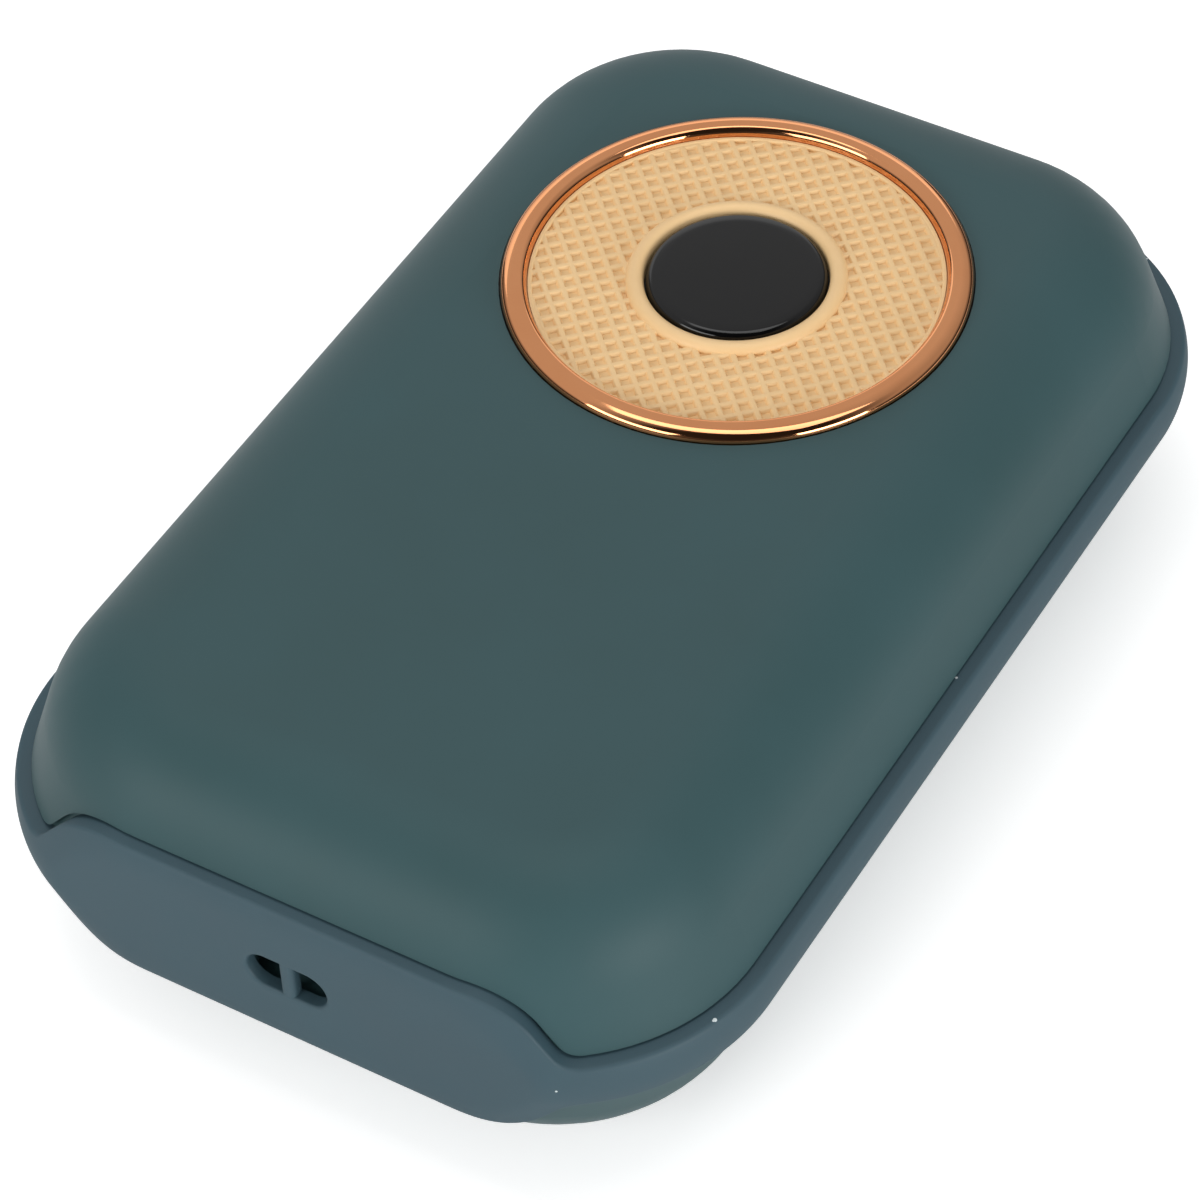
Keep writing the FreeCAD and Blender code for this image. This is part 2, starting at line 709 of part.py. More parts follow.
def make_socket():
    wall = d.socket_wall * 2
    outside = oblong_along_y("socket_outer", d.socket_width, d.socket_height, socket_rear, socket_front, mid)
    inside = oblong_along_y("socket_inner", d.socket_width - wall, d.socket_height - wall,
                            socket_rear - SPARE, socket_front + SPARE, mid)
    shell = cut("usb_socket_shell", outside, inside)
    slack = wall + d.band_gap * 2
    root_end = socket_rear + d.tongue_root
    root = oblong_along_y("tongue_root_block", d.socket_width - slack, d.socket_height - slack,
                          socket_rear, root_end, mid)
    half_w, half_h = d.tongue_width / 2, d.tongue_thick / 2
    blade = block("tongue_blade", (-half_w, root_end - d.fit_gap, mid - half_h),
                  (half_w, root_end + d.tongue_depth, mid + half_h))
    return [shell, join("usb_socket_tongue", root, blade)]


def screw(name, x, y, seat, length):
    """A pan-head screw whose head sits on a seat height."""
    return join(name, rod(name + "_head", d.screw_head_radius, seat, seat + d.screw_head_height, x, y),
                rod(name + "_shank", d.screw_radius, seat - length, seat + d.screw_head_height / 2, x, y))


def board_hole_places():
    return [(hole_x * side, y) for side in (-1, 1) for y in hole_ys]


def make_board():
    half = d.board_width / 2
    tongue = d.socket_width / 2
    sheet_of_board = block("board_sheet", (-half, board_start, board_bottom), (half, board_end, board_top))
    nose = block("board_nose", (-tongue, board_end - d.fit_gap, board_bottom),
                 (tongue, end_y - panel_back - d.fit_gap, board_top))
    hole_radius = d.screw_radius + d.screw_hole_gap
    length = board_top - shelf_bottom - d.fit_gap
    holes, screws = [], []
    for i, (x, y) in enumerate(board_hole_places()):
        holes.append(rod(f"board_hole_{i}", hole_radius, board_bottom - SPARE, board_top + SPARE, x, y))
        screws.append(screw(f"board_screw_{i}", x, y, board_top, length))
    board = cut("main_board", join("board_whole", sheet_of_board, nose), *holes)
    return [board, group("board_screws", *screws)]


def on_board(name, x, y, width, length, height):
    """A boxy component standing on the board's top face."""
    half_w, half_l = width / 2, length / 2
    middle = as_size(x)
    return block(name, (middle - half_w, y - half_l, board_top),
                 (middle + half_w, y + half_l, board_top + height))


def make_components():
    column = d.board_width / 4
    chip_y = trim_centre + d.chip_distance
    chips = [on_board(f"chip_{label}", column * side, chip_y, d.chip_side, d.chip_side, d.chip_height)
             for label, side in (("left", -1), ("right", 1))]
    outer_column = column + d.lead_room
    coil = on_board("power_coil", -outer_column, trim_centre, d.coil_side, d.coil_side, d.coil_height)
    can_top = board_top + d.capacitor_height
    first_can = trim_centre - d.capacitor_radius
    cans = [rod(f"capacitor_{i}", d.capacitor_radius, board_top, can_top, outer_column,
                first_can + d.capacitor_pitch * i) for i in (0, 1)]
    lights = [on_board(f"led_{i}{j}", d.led_offset * i, trim_centre + d.led_offset * j,
                       d.led_length, d.led_width, d.led_height) for i in (-1, 1) for j in (-1, 1)]
    plug_y = board_start + d.plug_depth / 2 + d.lead_room / 2
    plug = on_board("battery_plug", 0, plug_y, d.plug_width, d.plug_depth, d.plug_height)
    return [group("control_chips", *chips), coil, group("capacitors", *cans),
            group("indicator_leds", *lights), plug]


def chassis_walls():
    """The chassis ring, its shelf and cross wall, the screw lugs and the posts under the board."""
    inner_inset = d.chassis_inset + d.chassis_wall
    ring = cut("chassis_ring", outline_prism("chassis_outer", d.chassis_inset, chassis_bottom, chassis_top),
               outline_prism("chassis_inner", inner_inset, chassis_bottom - SPARE, chassis_top + SPARE))
    shelf_area = block("shelf_area", (-side_x, shelf_start, shelf_bottom), (side_x, end_y, shelf_top))
    wall_area = block("wall_area", (-side_x, shelf_start, chassis_bottom),
                      (side_x, shelf_start + d.chassis_wall, chassis_top))
    inside = outline_prism("chassis_fill", d.chassis_inset + d.fit_gap, chassis_bottom, chassis_top)
    filling = overlap("chassis_filling", inside, join("chassis_areas", shelf_area, wall_area))
    wall_x = side_x - inner_inset + d.fit_gap
    tip_x = lug_x - d.boss_radius
    low_y, high_y = -lug_y - d.boss_radius, -lug_y + d.boss_radius
    lugs = [block("lug_left", (-wall_x, low_y, shelf_bottom), (-tip_x, high_y, shelf_top)),
            block("lug_right", (tip_x, low_y, shelf_bottom), (wall_x, high_y, shelf_top))]
    posts = [rod(f"post_{i}", d.boss_radius, shelf_top - d.fit_gap, board_bottom, x, y)
             for i, (x, y) in enumerate(board_hole_places())]
    return join("chassis_solid", ring, filling, *lugs, *posts)


def chassis_openings():
    """Screw holes, windows for the hooks, and ways for the socket and the leads."""
    grip, clear = d.screw_radius + d.screw_gap, d.screw_radius + d.screw_hole_gap
    openings = [rod(f"post_hole_{i}", grip, shelf_bottom - SPARE, board_bottom + SPARE, x, y)
                for i, (x, y) in enumerate(board_hole_places())]
    openings += [rod(f"lug_hole_{i}", clear, shelf_bottom - SPARE, shelf_top + SPARE, x, y)
                 for i, (x, y) in enumerate(lug_places())]
    foot = mid - d.clip_drop
    half_window = d.clip_width / 2 + d.fit_gap
    window_top = foot + d.barb_height + d.fit_gap * 2
    openings += [block(f"clip_window_{end}", (-side_x, clip_y * end - half_window, foot - d.fit_gap),
                       (side_x, clip_y * end + half_window, window_top)) for end in (-1, 1)]
    port = d.socket_width / 2 + d.port_margin
    openings.append(block("port_way", (-port, board_end - d.fit_gap, board_bottom - d.fit_gap),
                          (port, end_y, chassis_top + SPARE)))
    lead_reach = d.lead_pitch / 2 + d.lead_radius + d.fit_gap
    openings.append(block("lead_way", (-lead_reach, shelf_start - SPARE, mid - d.guard_height / 2),
                          (lead_reach, shelf_start + SPARE, chassis_top + SPARE)))
    openings.append(block("heater_way", (-lead_x - lead_reach, lead_y - d.lead_room, shelf_bottom - SPARE),
                          (-lead_x + lead_reach, lead_y + d.lead_room, shelf_top + d.fit_gap)))
    return openings


def make_chassis():
    chassis = cut("chassis", chassis_walls(), *chassis_openings())
    screws = [screw(f"chassis_screw_{i}", x, y, shelf_top, d.shelf_thick + d.screw_bite)
              for i, (x, y) in enumerate(lug_places())]
    return [chassis, group("chassis_screws", *screws)]


def make_heater(name, plate_low, film_low, front_end):
    """A spreader plate and the heating film stuck to its inner face, both ending at front_end along Y."""
    length, middle = front_end + plate_end, (front_end - plate_end) / 2
    plate = rounded_slab(f"{name}_heat_plate", plate_width, length, d.plate_round,
                         plate_low, plate_low + d.plate_thick, middle)
    film_high = film_low + d.film_thick
    film = rounded_slab(f"{name}_film_sheet", plate_width - d.film_margin * 2, length - d.film_margin * 2,
                        d.plate_round - d.film_margin, film_low, film_high, middle)
    side = lead_x if name == "front" else -lead_x
    half = d.film_tail_width / 2
    tail = block(f"{name}_film_tail", (side - half, lead_y - d.film_tail_length, film_low),
                 (side + half, lead_y + d.film_tail_overrun, film_high))
    return [plate, join(f"{name}_heating_film", film, tail)]


def lead_pair(name, middle, low, high):
    half = d.lead_pitch / 2
    return group(name, rod(name + "_a", d.lead_radius, low, high, middle - half, lead_y),
                 rod(name + "_b", d.lead_radius, low, high, middle + half, lead_y))


def make_battery():
    middle = (cell_start + cell_end) / 2
    low, high = back_film_top + d.pad_thick, front_film_bottom - d.pad_thick
    cells = [rounded_slab("battery_cell_lower", cell_width, cell_length, d.cell_round, low, mid, middle),
             rounded_slab("battery_cell_upper", cell_width, cell_length, d.cell_round, mid, high, middle)]
    pad_length = cell_length - d.pad_margin * 2
    pads = [rounded_slab(f"{side}_foam_pad", plate_width, pad_length, d.cell_round,
                         bottom, bottom + d.pad_thick, middle)
            for side, bottom in (("back", back_film_top), ("front", high))]
    half_w, half_h = d.guard_width / 2, d.guard_height / 2
    guard_end = cell_end + d.guard_thick
    guard = block("battery_guard_board", (-half_w, cell_end, mid - half_h), (half_w, guard_end, mid + half_h))
    height = board_top + d.plug_height / 2
    plug_face = board_start + d.lead_room / 2
    leads = [rod_along_y(f"battery_lead_{sign}", d.lead_radius, guard_end, plug_face,
                         d.lead_pitch / 2 * side, height)
             for sign, side in (("positive", 1), ("negative", -1))]
    return cells + pads + [guard] + leads


def make_sensors():
    half = d.sensor_length / 2
    low_y, high_y = cell_end + d.fit_gap, cell_end + d.fit_gap + d.sensor_width
    back = block("back_sensor", (-half, low_y, back_film_top),
                 (half, high_y, back_film_top + d.sensor_height))
    front = block("front_sensor", (-half, low_y, front_film_bottom - d.sensor_height),
                  (half, high_y, front_film_bottom))
    return group("temperature_sensors", back, front)


nodes = [make_front_shell(), make_back_shell(), make_rating_label(), make_middle_band(), make_trim_ring(),
         make_dial_plate(), make_button_lens(), make_button_key(), *make_switch(), *make_socket(),
         *make_board(), *make_components(), *make_chassis(),
         *make_heater("back", d.shell_wall, back_film_bottom, plate_end),
         *make_heater("front", front_film_top, front_film_bottom, front_plate_end),
         lead_pair("back_heater_leads", -lead_x, back_film_top, board_bottom),
         lead_pair("front_heater_leads", lead_x, board_top, front_film_bottom),
         *make_battery(), make_sensors()]
doc.recompute()

for thing in doc.Objects:
    if {"Invalid", "Error"} & set(thing.State):
        raise RuntimeError(f"{thing.Name} did not build: {thing.State}")

os.makedirs("parts", exist_ok=True)
for node in nodes:
    node.Label = node.Name
    if node.Shape.isNull() or not node.Shape.isValid() or not node.Shape.Solids:
        raise RuntimeError(f"{node.Name} is not a sound solid")
    node.Shape.exportStep(f"parts/{node.Label}.step")
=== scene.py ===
"""Looks of the rechargeable hand warmer: finer pieces over the CAD frame, materials, light and camera.

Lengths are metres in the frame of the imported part, which rests on Z = 0 by the label on its back. +Y points
from the lanyard slot to the charging socket, and +Z out of the front.
"""

import json
import math

import bmesh
import bpy
from mathutils import Matrix, Vector


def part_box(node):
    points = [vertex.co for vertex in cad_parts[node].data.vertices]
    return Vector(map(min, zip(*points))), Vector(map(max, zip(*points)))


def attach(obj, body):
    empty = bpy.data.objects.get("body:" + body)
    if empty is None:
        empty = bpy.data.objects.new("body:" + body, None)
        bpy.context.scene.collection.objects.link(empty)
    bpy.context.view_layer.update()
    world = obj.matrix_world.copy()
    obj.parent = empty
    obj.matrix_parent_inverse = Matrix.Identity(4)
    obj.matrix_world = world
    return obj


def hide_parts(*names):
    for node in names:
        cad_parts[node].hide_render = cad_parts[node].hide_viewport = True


MM = 0.001
MERGE_REACH = 0.0001 * MM

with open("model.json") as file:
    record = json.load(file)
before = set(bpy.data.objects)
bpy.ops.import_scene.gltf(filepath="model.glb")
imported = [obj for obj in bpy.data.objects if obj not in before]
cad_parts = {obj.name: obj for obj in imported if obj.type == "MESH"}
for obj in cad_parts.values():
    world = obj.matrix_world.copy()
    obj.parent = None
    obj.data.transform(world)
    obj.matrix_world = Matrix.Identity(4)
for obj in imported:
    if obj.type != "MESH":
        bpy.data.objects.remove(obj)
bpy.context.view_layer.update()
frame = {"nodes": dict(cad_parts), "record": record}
nodes = frame["nodes"]

# Places read from the frame
ring_low, ring_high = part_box("trim_ring")
dial_low, dial_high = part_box("dial_plate")
lens_low, lens_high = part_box("button_lens")
shell_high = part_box("front_shell")[1]
DIAL_CENTRE = Vector(((ring_low.x + ring_high.x) / 2, (ring_low.y + ring_high.y) / 2, 0))
FACE_HEIGHT = shell_high.z
RING_RADIUS = (ring_high.x - ring_low.x) / 2
DIAL_RADIUS = (dial_high.x - dial_low.x) / 2
LENS_RADIUS = (lens_high.x - lens_low.x) / 2
MID_HEIGHT = shell_high.z / 2

# Form of the band, as in the CAD: two leaning walls meet in a rounded waist
band_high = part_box("middle_band")[1]
DRAFT = math.radians(18.5)
CORNER_RADIUS = 19.2 * MM
EDGE_ROUND = 11.6 * MM
WAIST_ROUND = 5.8 * MM
WAIST_DROP = WAIST_ROUND * (1 / math.cos(DRAFT) - 1)
# How far the flat end panels, and their inner faces, lie inside the walls' outline
PANEL_FLAT, PANEL_BACK = 2.2 * MM, 3.35 * MM
# The corners' centres
STRAIGHT_X = band_high.x + WAIST_DROP - CORNER_RADIUS
STRAIGHT_Y = band_high.y + PANEL_FLAT - CORNER_RADIUS
# The low strip's half height, how far it stands out of the shells and where its inner face lies
BAND_HALF = 2.1 * MM
BAND_PROUD, SEAT_INSET = 1.1 * MM, 1.65 * MM
# The slope from a panel down to the strip, rounded at its crest and foot
SLOPE_RUN = 4.3 * MM
CREST_ROUND = 7.0 * MM
FOOT_ROUND = 2.4 * MM
LANYARD_PANEL = {"half_width": 18.9 * MM, "half_height": 7.45 * MM}
PORT_PANEL = {"half_width": 18.0 * MM, "half_height": 4.2 * MM}
SLOT_HALF_LENGTH, SLOT_RADIUS = 3.6 * MM, 1.75 * MM
PORT_HALF_LENGTH, PORT_RADIUS = 4.67 * MM, 1.8 * MM

# Detail finer than the CAD
LIP_ROUND = 0.42 * MM
PANEL_BLEND = 0.3 * MM
MOUTH_ROUND = 0.3 * MM
CUT_DEPTH = 4.0 * MM
BAR_WIDTH, BAR_ROUND, BAR_DROP = 1.3 * MM, 0.45 * MM, 0.03 * MM
RING_WIDTH, RING_LIP, RING_SINK = 2.25 * MM, 0.6 * MM, 0.1 * MM
# The ring's outer flank is fuller than a half round, and its inner one a quarter round
OUTER_POWER = 0.8
INNER_ROUND = 0.6 * MM
LIP_BOTTOM = 0.15 * MM
LENS_EDGE, LENS_DOME, LENS_EDGE_END = 0.7 * MM, 0.12 * MM, 84
DOME_SHARES = (0.9, 0.7, 0.5, 0.3, 0.15, 0.0)
WAFFLE_PITCH, WAFFLE_TURN = 1.4 * MM, math.radians(45)
# Each step of a pit is the width of its border and how far it drops
WAFFLE_STEPS = ((0.2 * MM, 0.0), (0.12 * MM, 0.06 * MM), (0.17 * MM, 0.27 * MM))
RIM_WIDTH, RIM_RISE, RIM_ROUND = 0.42 * MM, 0.06 * MM, 0.2 * MM
DIAL_GAP, DIAL_FLOOR_DROP = 0.05 * MM, 0.5 * MM
COLLAR_GAP, COLLAR_WIDTH = 0.15 * MM, 1.55 * MM

# How finely curves are divided
CORNER_STEPS, END_STEPS, OBLONG_STEPS = 96, 40, 64
FACE_ROWS, LIP_ROWS, INNER_ROWS, FLARE_ROWS = 12, 5, 3, 4
SETTLE_ROUNDS = 12
BAR_ROWS, CROWN_ROWS, LENS_EDGE_ROWS, RIM_ROWS, COLLAR_ROWS = 4, 48, 8, 5, 16
RING_STEPS, LENS_STEPS, DIAL_STEPS, RIM_SIDES = 192, 128, 160, 72

# Edges sharper than these angles, in degrees, stay sharp
BAND_SMOOTH, RING_SMOOTH, LENS_SMOOTH, DIAL_SMOOTH = 38, 60, 40, 42

# The photograph's viewpoint
AZIMUTH, ELEVATION, ROLL = math.radians(32.57), math.radians(46.85), math.radians(-3.23)
CAMERA_DISTANCE = 381.04 * MM
CAMERA_TARGET = Vector((1.08, -5.59, 14.5)) * MM
CAMERA_LENS, SENSOR_WIDTH = 140.8, 36.0
CLIP_START = 10 * MM
CAMERA_LEVEL = Vector((math.sin(AZIMUTH), -math.cos(AZIMUTH), 0))
CAMERA_BACK = CAMERA_LEVEL * math.cos(ELEVATION) + Vector((0, 0, math.sin(ELEVATION)))

# The studio: places and sizes in metres, power in watts
FLOOR_LIFT, FLOOR_SIZE, FLOOR_SEGMENTS, FLOOR_GAP = 0.45, 3.0, 8, 0.02 * MM
LIGHT_TARGET = Vector((0.0, 0.0, 15.0)) * MM
SOFTBOXES = {
    "front_box": {"place": (-0.22, -0.62, 0.32), "size": (0.5, 0.28), "power": 1.95},
    "side_box": {"place": (0.68, -0.24, 0.15), "size": (0.4, 0.22), "power": 2.6},
    "back_box": {"place": (-0.5, 0.62, 0.3), "size": (0.9, 0.45), "power": 0.85},
    "top_box": {"place": (0.0, 0.08, 0.8), "size": (0.7, 0.35), "power": 1.65},
}
# Strength of the surroundings as light and in mirrors, and the range over which mirrors darken
SOFT_GREY = 0.4
MIRROR_BRIGHT, MIRROR_BY_CAMERA, MIRROR_LOW, MIRROR_RIGHT = 0.65, 0.03, 0.05, 0.72
CAMERA_FADE, LOW_FADE, RIGHT_FADE = (0.55, 0.85), (0.15, 0.45), (-0.3, 0.4)
WHITE = (1.0, 1.0, 1.0, 1.0)


# Helpers for meshes

def finish_piece(name, bm, body, material, replaced, smooth_angle):
    """Turns a bmesh into an object that rides a CAD body and stands for the CAD nodes it replaces."""
    mesh = bpy.data.meshes.new(name)
    bm.to_mesh(mesh)
    bm.free()
    mesh.polygons.foreach_set("use_smooth", [True] * len(mesh.polygons))
    mesh.set_sharp_from_angle(angle=math.radians(smooth_angle))
    mesh.materials.append(material)
    piece = bpy.data.objects.new(name, mesh)
    bpy.context.scene.collection.objects.link(piece)
    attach(piece, body)
    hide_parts(*replaced)
    return piece


def spun(section, centre, steps):
    """A closed half section of (radius, height) points turned about the upright axis through a centre."""
    bm = bmesh.new()
    verts = [bm.verts.new((centre.x + radius, centre.y, height)) for radius, height in section]
    edges = [bm.edges.new((verts[i - 1], verts[i])) for i in range(len(verts))]
    bmesh.ops.spin(bm, geom=verts + edges, cent=centre, axis=(0, 0, 1), angle=math.tau, steps=steps,
                   use_merge=True)
    bmesh.ops.remove_doubles(bm, verts=bm.verts, dist=MERGE_REACH)
    bmesh.ops.recalc_face_normals(bm, faces=bm.faces)
    return bm


def take_in(bm, other):
    """Adds a second bmesh to the first, and frees the second."""
    carrier = bpy.data.meshes.new("carrier")
    other.to_mesh(carrier)
    other.free()
    bm.from_mesh(carrier)
    bpy.data.meshes.remove(carrier)


def arc(centre_r, centre_z, radius, start, stop, count):
    """Points of an arc in the (radius, height) plane, angles in degrees."""
    angles = [math.radians(start + (stop - start) * i / count) for i in range(count + 1)]
    return [(centre_r + radius * math.cos(a), centre_z + radius * math.sin(a)) for a in angles]


# Node groups shared by materials

def new_group(name, inputs, outputs):
    """An empty shader node group with float inputs and outputs, and its two end nodes."""
    group = bpy.data.node_groups.new(name, "ShaderNodeTree")
    group.interface.new_socket("Vector", in_out="INPUT", socket_type="NodeSocketVector")
    for label, value in inputs.items():
        socket = group.interface.new_socket(label, in_out="INPUT", socket_type="NodeSocketFloat")
        socket.default_value = value
    for label in outputs:
        group.interface.new_socket(label, in_out="OUTPUT", socket_type="NodeSocketFloat")
    return group, group.nodes.new("NodeGroupInput"), group.nodes.new("NodeGroupOutput")


def noise_node(tree, vector, scale, detail, roughness=0.5):
    node = tree.nodes.new("ShaderNodeTexNoise")
    node.inputs["Detail"].default_value = detail
    node.inputs["Roughness"].default_value = roughness
    tree.links.new(scale, node.inputs["Scale"])
    tree.links.new(vector, node.inputs["Vector"])
    return node


def math_node(tree, operation, first, second):
    """One arithmetic step on two values, each a number or a socket."""
    node = tree.nodes.new("ShaderNodeMath")
    node.operation = operation
    for socket, value in zip(node.inputs, (first, second)):
        if isinstance(value, (int, float)):
            socket.default_value = value
        else:
            tree.links.new(value, socket)
    return node.outputs[0]


def spread_node(tree, value, from_low, from_high, to_low=0.0, to_high=1.0):
    """Maps one range of values to another, clamped; the ends are numbers or sockets."""
    node = tree.nodes.new("ShaderNodeMapRange")
    ends = {"From Min": from_low, "From Max": from_high, "To Min": to_low, "To Max": to_high}
    for label, number in ends.items():
        if isinstance(number, (int, float)):
            node.inputs[label].default_value = number
        else:
            tree.links.new(number, node.inputs[label])
    tree.links.new(value, node.inputs["Value"])
    return node.outputs["Result"]


def make_grain_group():
    """Fine surface grain: a height for bump and a slow drift for tone and gloss."""
    scales = {"Grain Scale": 4000.0, "Drift Scale": 60.0}
    group, start, end = new_group("fine_grain", scales, ("Height", "Drift"))
    fine = noise_node(group, start.outputs["Vector"], start.outputs["Grain Scale"], detail=2.0)
    slow = noise_node(group, start.outputs["Vector"], start.outputs["Drift Scale"], detail=4.0, roughness=0.6)
    group.links.new(fine.outputs["Fac"], end.inputs["Height"])
    group.links.new(slow.outputs["Fac"], end.inputs["Drift"])
    return group


def make_dust_group():
    """Sparse small specks of dust or lint, as a mask."""
    values = {"Cell Scale": 300.0, "Share": 0.03, "Size": 0.16}
    group, start, end = new_group("dust_specks", values, ("Mask",))
    cells = group.nodes.new("ShaderNodeTexVoronoi")
    group.links.new(start.outputs["Vector"], cells.inputs["Vector"])
    group.links.new(start.outputs["Cell Scale"], cells.inputs["Scale"])
    pick = group.nodes.new("ShaderNodeSeparateColor")
    group.links.new(cells.outputs["Color"], pick.inputs["Color"])
    chosen = math_node(group, "LESS_THAN", pick.outputs["Red"], start.outputs["Share"])
    reach = math_node(group, "MULTIPLY", pick.outputs["Green"], start.outputs["Size"])
    near = math_node(group, "LESS_THAN", cells.outputs["Distance"], reach)
    group.links.new(math_node(group, "MULTIPLY", chosen, near), end.inputs["Mask"])
    return group


GRAIN = make_grain_group()
DUST = make_dust_group()


# Helpers for materials

class Finish:
    """A material with one Principled shader, and short ways to wire the shared groups into it."""

    def __init__(self, name, **sockets):
        self.material = bpy.data.materials.new(name)
        self.material.use_nodes = True
        self.tree = self.material.node_tree
        self.shader = self.tree.nodes["Principled BSDF"]
        self.place = self.tree.nodes.new("ShaderNodeTexCoord").outputs["Object"]
        for label, value in sockets.items():
            self.shader.inputs[label.replace("_", " ")].default_value = value

    def group(self, group, **values):
        node = self.tree.nodes.new("ShaderNodeGroup")
        node.node_tree = group
        self.tree.links.new(self.place, node.inputs["Vector"])
        for label, value in values.items():
            node.inputs[label.replace("_", " ")].default_value = value
        return node

    def mix(self, factor, first, second):
        """A colour mixed by a factor; colours are tuples or sockets."""
        node = self.tree.nodes.new("ShaderNodeMix")
        node.data_type = "RGBA"
        self.tree.links.new(factor, node.inputs["Factor"])
        # A mix node keeps its colour inputs at places 6 and 7, and its colour output at 2
        for socket, value in ((node.inputs[6], first), (node.inputs[7], second)):
            if isinstance(value, tuple):
                socket.default_value = value
            else:
                self.tree.links.new(value, socket)
        return node.outputs[2]

    def colour(self, socket):
        self.tree.links.new(socket, self.shader.inputs["Base Color"])

    def roughness(self, socket):
        self.tree.links.new(socket, self.shader.inputs["Roughness"])

    def bump(self, height, strength, distance):
        node = self.tree.nodes.new("ShaderNodeBump")
        node.inputs["Strength"].default_value = strength
        node.inputs["Distance"].default_value = distance
        self.tree.links.new(height, node.inputs["Height"])
        self.tree.links.new(node.outputs["Normal"], self.shader.inputs["Normal"])


def tone(red, green, blue):
    """An sRGB colour of 0 to 255 as the linear colour a shader takes."""
    def linear(value):
        share = value / 255
        return share / 12.92 if share <= 0.04045 else ((share + 0.055) / 1.055) ** 2.4
    return (linear(red), linear(green), linear(blue), 1.0)


SPECK_TONE = tone(205, 214, 216)
DRIFT_RANGE = (0.3, 0.7)


def grained(name, dark, light, rough, grain_scale=4000.0, drift_scale=60.0, bump=0.1, depth=0.02 * MM,
            specks=None, **sockets):
    """A moulded or painted surface: two close tones that drift, uneven gloss, fine grain and maybe specks.

    The tones are sRGB triples, and rough is the range of the roughness.
    """
    finish = Finish(name, **sockets)
    grain = finish.group(GRAIN, Grain_Scale=grain_scale, Drift_Scale=drift_scale)
    drift = spread_node(finish.tree, grain.outputs["Drift"], *DRIFT_RANGE)
    base = finish.mix(drift, tone(*dark), tone(*light))
    if specks:
        dust = finish.group(DUST, **specks)
        base = finish.mix(dust.outputs["Mask"], base, SPECK_TONE)
    finish.colour(base)
    finish.roughness(spread_node(finish.tree, drift, 0.0, 1.0, *rough))
    finish.bump(grain.outputs["Height"], bump, depth)
    return finish.material


# Materials seen from outside

def make_soft_touch_paint():
    return grained("soft_touch_paint", (49, 78, 81), (53, 83, 87), (0.5, 0.58), grain_scale=5000.0,
                   drift_scale=40.0, bump=0.12, depth=0.01 * MM, Specular_IOR_Level=0.3, Sheen_Weight=0.12,
                   Sheen_Roughness=0.4)


def make_silicone():
    dust = {"Cell_Scale": 900.0, "Share": 0.12, "Size": 0.16}
    return grained("band_silicone", (51, 76, 86), (55, 81, 91), (0.56, 0.66), grain_scale=5200.0,
                   drift_scale=90.0, bump=0.25, depth=0.01 * MM, specks=dust)


def make_rose_gold():
    return grained("rose_gold_plating", (228, 155, 106), (233, 162, 113), (0.05, 0.09), grain_scale=2500.0,
                   drift_scale=120.0, bump=0.02, depth=0.01 * MM, Metallic=1.0)


def make_apricot_plastic():
    return grained("apricot_plastic", (238, 199, 144), (242, 205, 151), (0.42, 0.5), grain_scale=3200.0,
                   drift_scale=150.0)


def make_black_lens():
    return grained("black_lens", (7, 7, 8), (11, 11, 12), (0.1, 0.14), grain_scale=2500.0, drift_scale=80.0,
                   bump=0.02, depth=0.01 * MM, Specular_IOR_Level=0.4)


# Materials of the underside and the inner works

def make_inner_materials():
    """One finish for each material slot that is hidden in the photograph."""
    metal = {"Metallic": 1.0}
    paper = {"grain_scale": 1500.0, "drift_scale": 30.0}
    weave = {"grain_scale": 1800.0, "drift_scale": 400.0}
    pouch = {"grain_scale": 900.0, "drift_scale": 200.0, "Metallic": 1.0}
    foam = {"grain_scale": 1200.0, "drift_scale": 300.0, "bump": 0.5, "depth": 0.2 * MM}
    looks = {
        "label_film": ((176, 179, 182), (188, 191, 193), (0.35, 0.45), paper),
        "key_plastic": ((22, 22, 23), (30, 30, 31), (0.45, 0.55), {}),
        "chassis_plastic": ((50, 53, 56), (60, 63, 66), (0.5, 0.6), {}),
        "board_laminate": ((14, 74, 44), (20, 88, 54), (0.3, 0.4), weave),
        "chip_epoxy": ((24, 24, 26), (32, 32, 34), (0.55, 0.65), {}),
        "coil_ferrite": ((62, 62, 65), (76, 76, 79), (0.6, 0.7), {}),
        "can_metal": ((190, 192, 196), (206, 208, 211), (0.25, 0.35), metal),
        "led_resin": ((238, 232, 205), (246, 240, 215), (0.2, 0.3), {}),
        "plug_nylon": ((228, 222, 204), (236, 231, 214), (0.45, 0.55), {}),
        "screw_steel": ((168, 168, 164), (184, 184, 180), (0.25, 0.35), metal),
        "socket_steel": ((186, 186, 188), (200, 200, 202), (0.22, 0.3), metal),
        "cell_pouch": ((184, 188, 193), (198, 202, 206), (0.3, 0.42), pouch),
        "plate_metal": ((200, 202, 204), (212, 214, 216), (0.3, 0.4), metal),
        "film_polyimide": ((176, 108, 38), (190, 122, 48), (0.2, 0.3), {}),
        "pad_foam": ((50, 50, 51), (64, 64, 65), (0.85, 0.95), foam),
        "lead_red": ((172, 26, 22), (190, 34, 28), (0.4, 0.5), {}),
        "lead_black": ((24, 24, 25), (34, 34, 35), (0.4, 0.5), {}),
        "lead_white": ((222, 221, 214), (234, 233, 226), (0.4, 0.5), {}),
    }
    return {slot: grained(slot, dark, light, rough, **other)
            for slot, (dark, light, rough, other) in looks.items()}


PAINT = make_soft_touch_paint()
SILICONE = make_silicone()
ROSE_GOLD = make_rose_gold()
APRICOT = make_apricot_plastic()
BLACK_LENS = make_black_lens()


